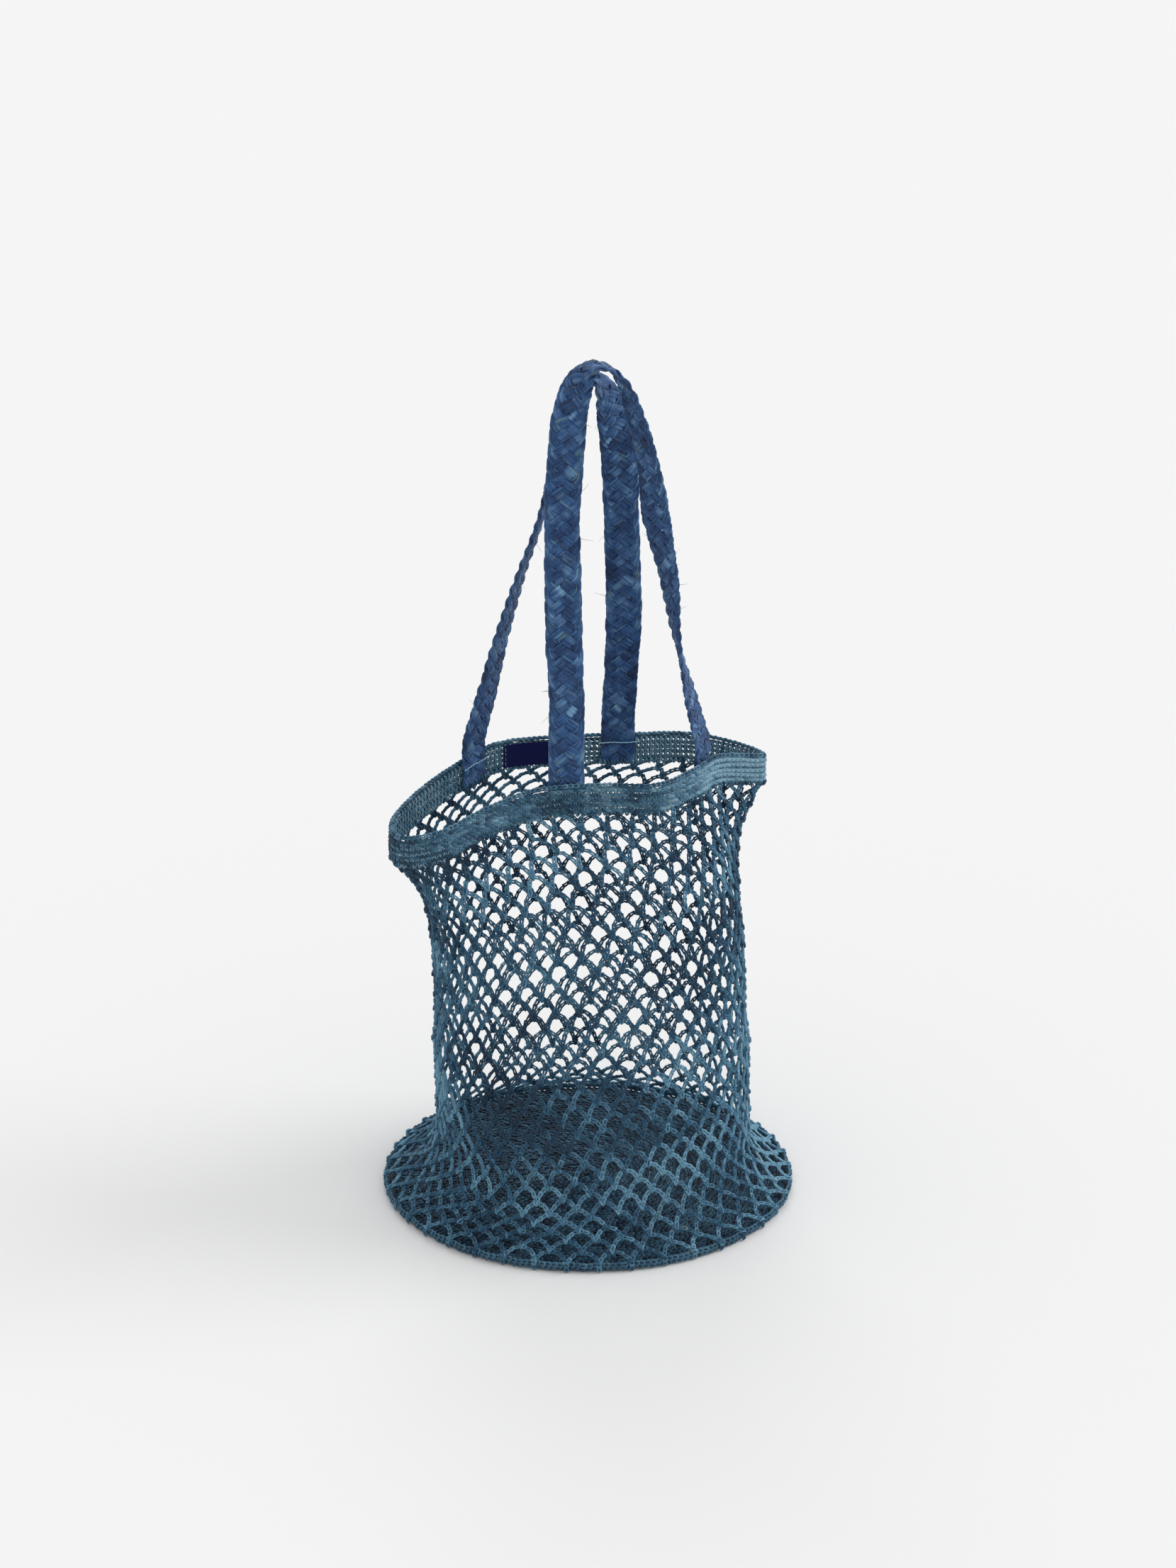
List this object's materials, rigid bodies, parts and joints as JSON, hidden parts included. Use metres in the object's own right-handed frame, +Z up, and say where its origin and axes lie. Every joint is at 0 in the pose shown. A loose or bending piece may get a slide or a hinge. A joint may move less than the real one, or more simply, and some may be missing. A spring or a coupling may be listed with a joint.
{
  "type": "crocheted net tote bag",
  "caption": "Tall crocheted net tote with a dense round base, an open net wall flaring onto it, a dense band round the mouth, two flat braided strap handles and a sewn-in label.",
  "frame": {"origin": "middle of the base's underside, on the surface the bag stands on", "axes": "+Z up, +X along the mouth's long way to its right tip, -Y to the front"},
  "size_m": [0.3, 0.3, 0.6072],
  "materials": {
    "net_yarn": "matte dyed raffia",
    "base_yarn": "matte dyed raffia",
    "strap_braid": "matte braided raffia",
    "label_cloth": "woven satin",
    "thread": "sewing thread"
  },
  "bodies": {
    "base": {"base_disc": "base_yarn", "base_edge_round": "base_yarn", "net_skirt": "net_yarn", "net_wall": "net_yarn"},
    "rim": {"rim_band": "net_yarn", "rim_edge_round": "net_yarn", "front_left_strap_end": "strap_braid", "front_right_strap_end": "strap_braid", "back_left_strap_end": "strap_braid", "back_right_strap_end": "strap_braid", "front_left_stitch": "thread", "front_right_stitch": "thread", "back_left_stitch": "thread", "back_right_stitch": "thread", "front_left_binding": "net_yarn", "front_right_binding": "net_yarn", "back_left_binding": "net_yarn", "back_right_binding": "net_yarn", "label": "label_cloth", "label_stitches": "thread"},
    "front_handle": {"front_handle": "strap_braid"},
    "back_handle": {"back_handle": "strap_braid"}
  },
  "joints": [
    {"name": "rim_sink", "type": "slide", "parent": "base", "child": "rim", "axis": [0, 0, -1], "range_m": [0, 0.14], "deforming": ["net_skirt", "net_wall"]},
    {"name": "front_handle_swing", "type": "hinge", "parent": "rim", "child": "front_handle", "pos_m": [0.03178, -0.01001, 0.32916], "axis": [0.997, 0.0766, -0.0097], "range_deg": [0, 100]},
    {"name": "back_handle_swing", "type": "hinge", "parent": "rim", "child": "back_handle", "pos_m": [-0.00394, 0.06441, 0.32922], "axis": [-0.9936, 0.1066, -0.0377], "range_deg": [0, 100]}
  ]
}
